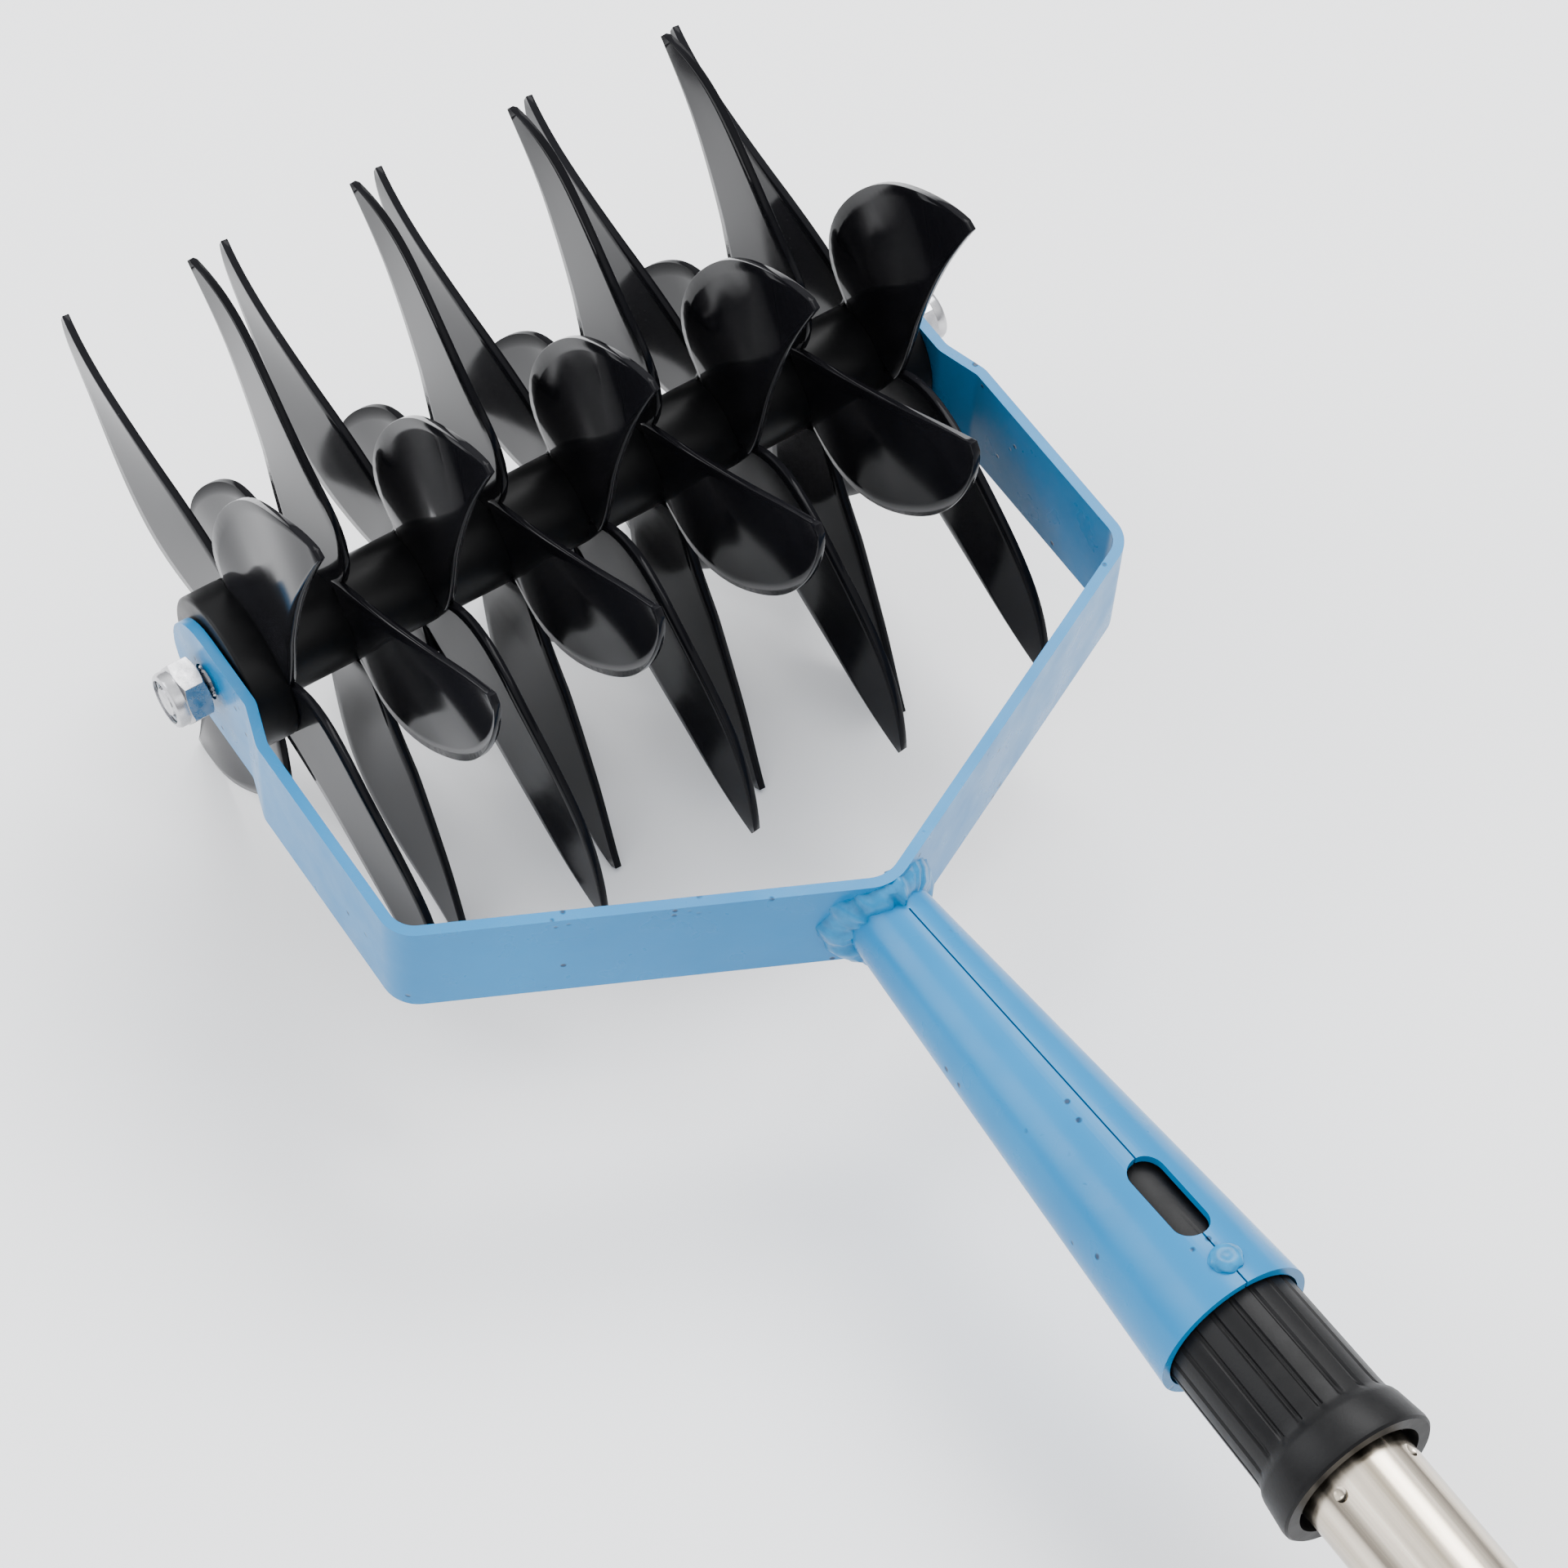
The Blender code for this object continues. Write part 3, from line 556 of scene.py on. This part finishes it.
def build_wheel(number):
    """One wheel. Its mesh is leaned so that its own box is level, like the CAD box."""
    odd = number % 2 == 1
    first_angle = ODD_TIP_ANGLE if odd else EVEN_TIP_ANGLE
    parts = [hub_object(number)]
    for index in range(BLADES_PER_WHEEL):
        front = index % 2 == (0 if odd else 1)
        sweep = FRONT_BLADE_SWEEP if front else BACK_BLADE_SWEEP
        angle = first_angle + index * FULL_TURN / BLADES_PER_WHEEL
        parts.append(blade_object(f"blade_{index}", sweep, angle, 0.0 if odd else math.pi))
    mesh = join_meshes(f"tine_wheel_{number}_skin", parts)
    lean = Matrix.Rotation(REST_LEAN, 4, "X")
    mesh.transform(lean)
    place = TOOL @ Matrix.Translation((FIRST_WHEEL_X + WHEEL_PITCH * (number - 1), 0, 0)) @ lean.inverted()
    wheel = add_piece(f"tine_wheel_{number}_skin", mesh, HUB_BLACK, place, "rotor", [f"tine_wheel_{number}"])
    wheel.data.materials.append(BLACK)


def build_end_spacer():
    profile = [(BORE_RADIUS, ROTOR_LEFT), (END_HUB_RADIUS, ROTOR_LEFT), (END_HUB_RADIUS, FIRST_WHEEL_X),
               (BORE_RADIUS, FIRST_WHEEL_X)]
    mesh = turned_mesh("end_spacer_skin", rounded_profile(profile, 0.9 * MM))
    mesh.transform(Matrix.Rotation(math.pi / 2, 4, "Y"))
    add_piece("end_spacer_skin", mesh, HUB_BLACK, TOOL, "rotor", ["end_spacer"])


# ---------------------------------------------------------------- yoke

def rounded_path(corners, bends, steps=14):
    """The points of a bent path: straight runs with an arc of the given radius at each corner."""
    points = [Vector(corners[0])]
    for before, corner, after, bend in zip(corners, corners[1:], corners[2:], bends):
        corner = Vector(corner)
        back = (Vector(before) - corner).normalized()
        ahead = (Vector(after) - corner).normalized()
        half = back.angle(ahead) / 2
        centre = corner + (back + ahead).normalized() * bend / math.sin(half)
        first = corner + back * bend / math.tan(half) - centre
        last = corner + ahead * bend / math.tan(half) - centre
        for step in range(steps):
            turn = first.normalized().slerp(last.normalized(), step / (steps - 1))
            points.append(centre + turn * bend)
    points.append(Vector(corners[-1]))
    return points


def yoke_path():
    """The middle of the bar from the left ear, round the V base, to the right ear."""
    end = Vector((-EAR_X, BAR_WIDTH / 2 * math.sin(math.radians(85)), 0))
    corners = [end, (-EAR_X, -JOGGLE_START, 0), (-ARM_X, -JOGGLE_END, 0), (-ARM_X, CORNER_Y, 0),
               (0, APEX_Y, 0)]
    mirrored = [(-corner[0], corner[1], 0) for corner in reversed(corners[:-1])]
    side_bends = [JOGGLE_BEND, JOGGLE_BEND, CORNER_BEND]
    bends = side_bends + [APEX_BEND] + side_bends[::-1]
    path = rounded_path(corners + mirrored, bends)
    ear_turn = [Vector((-EAR_X, BAR_WIDTH / 2 * math.sin(math.radians(angle)), 0))
                for angle in (80, 73, 66, 58, 50, 41, 32, 23, 14, 0)]
    opposite = [Vector((-point.x, point.y, 0)) for point in reversed(ear_turn)]
    return path[:1] + ear_turn + path[1:-1] + opposite + path[-1:]


def build_yoke():
    """The flat bar that follows its path, with full-radius ends and rounded edges."""
    path = yoke_path()
    bm = bmesh.new()
    bmesh.ops.create_grid(bm, x_segments=len(path) - 1, y_segments=4, size=0.5)
    radius = BAR_WIDTH / 2
    for vert in bm.verts:
        station = path[round((vert.co.x + 0.5) * (len(path) - 1))]
        half_width = math.sqrt(radius ** 2 - max(0.0, station.y) ** 2)
        vert.co = Vector((station.x, station.y, 2 * vert.co.y * half_width))
    yoke = add_piece("yoke_skin", mesh_from(bm, "yoke_skin"), BLUE, TOOL, "frame", ["yoke_frame"])
    sheet = yoke.modifiers.new("Bar", "SOLIDIFY")
    sheet.thickness = BAR_THICKNESS
    sheet.offset = 0.0
    sheet.use_even_offset = True
    hole = add_cutter("hole", cylinder_mesh("hole", AXLE_HOLE_RADIUS, -0.12, 0.12), TOOL)
    combine(yoke, [hole])
    soften(yoke, 0.75 * MM, 3, 45)
    return yoke


# ---------------------------------------------------------------- handle socket and welds

def socket_radius(height):
    return SOCKET_ROOT_RADIUS + (SOCKET_MOUTH_RADIUS - SOCKET_ROOT_RADIUS) * height / SOCKET_LENGTH


def slot_mesh():
    """A slot with round ends through the seam side of the socket."""
    size = (SLOT_WIDTH, 0.02, SLOT_END - SLOT_START)
    mesh = box_mesh("slot", size, (0, 0.018, (SLOT_START + SLOT_END) / 2))
    bm = bmesh.new()
    bm.from_mesh(mesh)
    across = [edge for edge in bm.edges
              if abs(edge.verts[0].co.y - edge.verts[1].co.y) > MM]
    bmesh.ops.bevel(bm, geom=across, offset=0.49 * SLOT_WIDTH, segments=12, profile=0.5, affect="EDGES")
    bm.to_mesh(mesh)
    bm.free()
    return mesh


def build_socket():
    """The rolled cone, with its seam and its slot cut through."""
    wall = SOCKET_WALL
    start = -4 * MM
    profile = [(socket_radius(start) - wall, start), (socket_radius(start), start),
               (SOCKET_MOUTH_RADIUS, SOCKET_LENGTH), (SOCKET_MOUTH_RADIUS - wall, SOCKET_LENGTH)]
    mesh = turned_mesh("socket_skin", profile)
    socket = add_piece("socket_skin", mesh, BLUE, HANDLE, "frame", ["handle_socket"])
    seam_box = box_mesh("seam", (0.4 * MM, 0.02, 0.2), (0, 0.018, 0.105))
    seam = add_cutter("seam", seam_box, SEAM_SIDE)
    slot = add_cutter("slot", slot_mesh(), SEAM_SIDE)
    combine(socket, [seam, slot])
    soften(socket, 0.45 * MM, 3, 45)


def build_socket_weld():
    """A lumpy fillet bead that follows the foot of the socket over both slopes of the bar."""
    slope = (CORNER_Y - APEX_Y) / ARM_X
    bead_steps = 120
    section_steps = 10
    bm = bmesh.new()
    bmesh.ops.create_grid(bm, x_segments=bead_steps, y_segments=section_steps, size=0.5)
    for vert in bm.verts:
        around = (vert.co.x + 0.5) * FULL_TURN
        section = (vert.co.y + 0.5) * FULL_TURN
        lump = noise.noise(Vector((2.2 * math.cos(around), 2.2 * math.sin(around), 4.0)))
        drop = noise.noise(Vector((6 * math.cos(around), 6 * math.sin(around), 0.8 * math.cos(section))))
        size = 3.7 * MM * (1.0 + 0.02 * math.sin(22 * around) + 0.35 * lump + 0.3 * drop)
        radius = SOCKET_ROOT_RADIUS + 0.6 * MM + size * math.cos(section)
        across = radius * math.sin(around)
        height = size * math.sin(section) - slope * abs(across) + 0.4 * MM
        vert.co = Vector((across, radius * math.cos(around), height))
    bmesh.ops.remove_doubles(bm, verts=bm.verts, dist=0.01 * MM)
    add_piece("socket_weld_skin", mesh_from(bm, "socket_weld_skin"), WELD, HANDLE, "frame", ["socket_weld"])


def build_tack_weld():
    """A button of weld that closes the seam, with the small crater of its last drop."""
    lift = socket_radius(TACK_AT)
    lean = math.atan((SOCKET_MOUTH_RADIUS - SOCKET_ROOT_RADIUS) / SOCKET_LENGTH)
    bm = bmesh.new()
    bmesh.ops.create_uvsphere(bm, u_segments=48, v_segments=32, radius=1.0)
    for vert in bm.verts:
        reach = math.hypot(vert.co.x, vert.co.y)
        crater = 0.35 * math.exp(-((reach / 0.42) ** 2)) if vert.co.z > 0 else 0.0
        lump = 0.10 * noise.noise(vert.co * 2.2)
        height = vert.co.z * (1.0 - crater) * 1.7 * MM
        vert.co = Vector((vert.co.x * 3.5 * MM * (1 + lump), vert.co.y * 3.3 * MM * (1 + lump), height))
    place = SEAM_SIDE @ Matrix.Translation((0, lift, TACK_AT)) @ Matrix.Rotation(-math.pi / 2 - lean, 4, "X")
    add_piece("tack_weld_skin", mesh_from(bm, "tack_weld_skin"), WELD, place, "frame", ["seam_tack_weld"])


# ---------------------------------------------------------------- plug, tube and grip

def build_plug():
    """The ribbed plug: a barrel with broad flats between narrow grooves, and a collar.

    Each station is the height, the step out from the barrel's radius, and how deep the grooves are.
    """
    collar_end = COLLAR_START + COLLAR_LENGTH
    stations = [(PLUG_FOOT, -6.2 * MM, 0), (PLUG_FOOT + 2 * MM, -4.7 * MM, 0),
                (PLUG_BARREL_START, -1.7 * MM, 0), (SOCKET_LENGTH - 7 * MM, -0.3 * MM, 0),
                (SOCKET_LENGTH - 5 * MM, 0, 1), (COLLAR_START - 3 * MM, 0.6 * MM, 1),
                (COLLAR_START - MM, 0.7 * MM, 0.5), (COLLAR_START, 0.9 * MM, 0),
                (COLLAR_START + 1.0 * MM, 1.5 * MM, 0), (COLLAR_START + 2.0 * MM, 1.8 * MM, 0),
                (collar_end - 1.5 * MM, 2.7 * MM, 0), (collar_end - 0.5 * MM, 2.6 * MM, 0),
                (collar_end, 2.1 * MM, 0), (collar_end, -0.6 * MM, 0),
                (collar_end - COLLAR_RECESS, -1.0 * MM, 0), (collar_end - COLLAR_RECESS, -3.4 * MM, 0)]
    around_steps = PLUG_RIBS * 14
    bm = bmesh.new()
    bmesh.ops.create_grid(bm, x_segments=around_steps, y_segments=len(stations) - 1, size=0.5)
    for vert in bm.verts:
        around = (vert.co.x + 0.5) * FULL_TURN
        height, flare, ribbed = stations[round((vert.co.y + 0.5) * (len(stations) - 1))]
        phase = (around * PLUG_RIBS / FULL_TURN) % 1.0
        groove = max(0.0, 1.0 - abs(phase - 0.5) / 0.14)
        radius = PLUG_RADIUS + flare - ribbed * RIB_HEIGHT * min(1.0, groove * 1.6)
        vert.co = Vector((radius * math.sin(around), radius * math.cos(around), height))
    bmesh.ops.remove_doubles(bm, verts=bm.verts, dist=0.001 * MM)
    mesh = mesh_from(bm, "handle_plug_skin", 28)
    add_piece("handle_plug_skin", mesh, GREY, HANDLE, "frame", ["handle_plug"])


def crimp_cutter(angle):
    reach = TUBE_RADIUS + 1.7 * MM
    bm = bmesh.new()
    bmesh.ops.create_uvsphere(bm, u_segments=32, v_segments=20, radius=2.3 * MM)
    place = Matrix.Translation((reach * math.sin(angle), reach * math.cos(angle), CRIMP_AT))
    return add_cutter("crimp", mesh_from(bm, "crimp"), HANDLE @ place)


def tube_mesh(name, start, end, radius, wall):
    inner = radius - wall
    profile = [(inner, start), (radius, start), (radius, end), (inner, end)]
    return turned_mesh(name, profile)


def build_tubes():
    start = COLLAR_START + COLLAR_LENGTH - COLLAR_RECESS + GAP
    middle = start + LOWER_TUBE_LENGTH
    lower = add_piece("lower_tube_skin", tube_mesh("lower_tube_skin", start, middle, TUBE_RADIUS, TUBE_WALL),
                      STEEL, HANDLE, "frame", ["handle_tube_lower"])
    combine(lower, [crimp_cutter(angle) for angle in CRIMP_ANGLES])
    soften(lower, 0.2 * MM, 2, 30)
    end = middle + GAP + UPPER_TUBE_LENGTH
    add_piece("upper_tube_skin", tube_mesh("upper_tube_skin", middle + GAP, end, TUBE_RADIUS, TUBE_WALL),
              STEEL, HANDLE, "frame", ["handle_tube_upper"])
    build_coupler(middle)
    build_grip(end)


def build_coupler(middle):
    inner = TUBE_RADIUS + 0.05 * MM
    outer = TUBE_RADIUS + GAP + 2.6 * MM
    half = 22 * MM
    profile = [(inner, middle - half), (outer - 0.8 * MM, middle - half), (outer, middle - half + 2 * MM),
               (outer, middle - 3 * MM), (outer - 0.6 * MM, middle - 2 * MM),
               (outer - 0.6 * MM, middle + 2 * MM), (outer, middle + 3 * MM),
               (outer, middle + half - 2 * MM), (outer - 0.8 * MM, middle + half), (inner, middle + half)]
    mesh = turned_mesh("tube_coupler_skin", rounded_profile(profile, 0.8 * MM))
    add_piece("tube_coupler_skin", mesh, GREY, HANDLE, "frame", ["tube_coupler"])


def build_grip(tube_end):
    start = tube_end - GRIP_LENGTH
    inner = TUBE_RADIUS + 0.05 * MM
    outer = GRIP_RADIUS
    profile = [(inner, start), (outer - 1.2 * MM, start), (outer, start + 1.4 * MM)]
    for index in range(GRIP_GROOVES):
        middle = start + 30 * MM + index * 18 * MM
        profile += [(outer, middle - 2.5 * MM), (outer - MM, middle), (outer, middle + 2.5 * MM)]
    profile += [(outer, tube_end), (inner, tube_end)]
    mesh = turned_mesh("handle_grip_skin", rounded_profile(profile, 1.2 * MM))
    add_piece("handle_grip_skin", mesh, GREY, HANDLE, "frame", ["handle_grip"])
    low = tube_end + GAP
    high = tube_end + CAP_LENGTH
    cap = [(0, low), (outer, low), (outer, high - 3 * MM), (outer - 3 * MM, high), (0, high)]
    cap_mesh = turned_mesh("grip_cap_skin", rounded_profile(cap, 1.5 * MM, 5))
    add_piece("grip_cap_skin", cap_mesh, GREY, HANDLE, "frame", ["grip_end_cap"])


# ---------------------------------------------------------------- axle nuts

def build_nut(side, label):
    """A lock nut: a hexagon with turned chamfers and the round collar over its nylon ring."""
    place = TOOL @ Matrix.Translation((side * NUT_SEAT, 0, 0)) @ Matrix.Rotation(side * math.pi / 2, 4, "Y")
    corner = NUT_ACROSS_FLATS / math.sqrt(3)
    flat = NUT_ACROSS_FLATS / 2
    bm = bmesh.new()
    bmesh.ops.create_cone(bm, cap_ends=True, segments=6, radius1=corner, radius2=corner,
                          depth=NUT_HEIGHT, matrix=Matrix.Translation((0, 0, NUT_HEIGHT / 2)))
    name = f"lock_nut_{label}"
    nut = add_piece(name + "_skin", mesh_from(bm, name + "_skin"), ZINC, place, "frame", [name])
    chamfer = (corner - flat) * 0.62
    collar = flat - 0.2 * MM
    bore = ROD_RADIUS + GAP
    profile = [(bore, -0.01 * MM), (flat, -0.01 * MM), (corner + 0.1 * MM, chamfer),
               (corner + 0.1 * MM, NUT_HEX_HEIGHT - chamfer), (collar, NUT_HEX_HEIGHT),
               (collar, NUT_HEIGHT - 0.9 * MM), (collar - 0.3 * MM, NUT_HEIGHT - 0.3 * MM),
               (collar - 0.9 * MM, NUT_HEIGHT), (INSERT_RADIUS - 0.4 * MM, NUT_HEIGHT),
               (INSERT_RADIUS - 0.4 * MM, NUT_HEIGHT - 0.5 * MM), (INSERT_RADIUS, NUT_HEIGHT - 0.5 * MM),
               (INSERT_RADIUS, NUT_HEX_HEIGHT), (bore, NUT_HEX_HEIGHT)]
    shape = add_cutter("nut_shape", turned_mesh("nut_shape", profile), place)
    combine(nut, [shape], "INTERSECT")
    nut.data.materials.clear()
    nut.data.materials.append(ZINC)
    soften(nut, 0.15 * MM, 2, 30)


def finish_cad_nodes():
    """The CAD nodes that stay visible get the full materials."""
    kept = {"axle_rod": ZINC, "lock_nut_left_insert": NYLON, "lock_nut_right_insert": NYLON,
            "tube_joint_sleeve": STEEL}
    for name, material in kept.items():
        node = frame["nodes"][name]
        node.data.materials.clear()
        node.data.materials.append(material)


# ---------------------------------------------------------------- studio

def add_floor():
    bm = bmesh.new()
    bmesh.ops.create_grid(bm, x_segments=1, y_segments=1, size=FLOOR_HALF_SIZE)
    floor = bpy.data.objects.new("floor", mesh_from(bm, "floor"))
    bpy.context.scene.collection.objects.link(floor)
    floor.data.materials.append(make_floor_material())


def add_light(name, location, target, size, power, colour=(1, 1, 1)):
    light = bpy.data.lights.new(name, "AREA")
    light.shape = "RECTANGLE"
    light.size, light.size_y = size
    light.energy = power
    light.color = colour
    obj = bpy.data.objects.new(name, light)
    bpy.context.scene.collection.objects.link(obj)
    obj.location = location
    obj.rotation_mode = "QUATERNION"
    obj.rotation_quaternion = (Vector(target) - Vector(location)).to_track_quat("-Z", "Y")


def add_lights():
    world = bpy.data.worlds.new("studio")
    bpy.context.scene.world = world
    world.use_nodes = True
    background = world.node_tree.nodes["Background"]
    background.inputs["Strength"].default_value = SKY_STRENGTH
    coordinates = world.node_tree.nodes.new("ShaderNodeTexCoord")
    parts = world.node_tree.nodes.new("ShaderNodeSeparateXYZ")
    link(world.node_tree, coordinates, "Generated", parts, "Vector")
    height = ramp_between(world.node_tree, parts, "Z", 0.0, 0.75)
    sky = mix_colour(world.node_tree, height, HORIZON_COLOUR, SKY_COLOUR)
    world.node_tree.links.new(sky.outputs[2], background.inputs["Color"])
    head = axle_at
    add_light("key", head + Vector((0.9, 0.5, 1.5)), head, (1.2, 0.9), 36)
    add_light("window", head + Vector((-1.2, 0.9, 1.0)), head, (0.8, 1.2), 20, (0.95, 0.97, 1.0))
    add_light("fill", head + Vector((-0.3, -1.6, 1.3)), head, (1.5, 0.8), 5)


def add_camera():
    data = bpy.data.cameras.new("camera")
    data.lens = CAMERA_LENS
    data.sensor_width = 36.0
    data.clip_start = 0.01
    data.clip_end = 50.0
    camera = bpy.data.objects.new("camera", data)
    bpy.context.scene.collection.objects.link(camera)
    back = -CAMERA_AIM.normalized()
    right = (CAMERA_RIGHT - back * CAMERA_RIGHT.dot(back)).normalized()
    up = back.cross(right)
    turn = Matrix((right, up, back)).transposed().to_4x4()
    camera.matrix_world = TOOL @ Matrix.Translation(CAMERA_AT) @ turn
    bpy.context.scene.camera = camera


for wheel_number in range(1, WHEEL_COUNT + 1):
    build_wheel(wheel_number)
build_end_spacer()
build_yoke()
build_socket()
build_socket_weld()
build_tack_weld()
build_plug()
build_tubes()
build_nut(-1, "left")
build_nut(1, "right")
finish_cad_nodes()
add_floor()
add_lights()
add_camera()
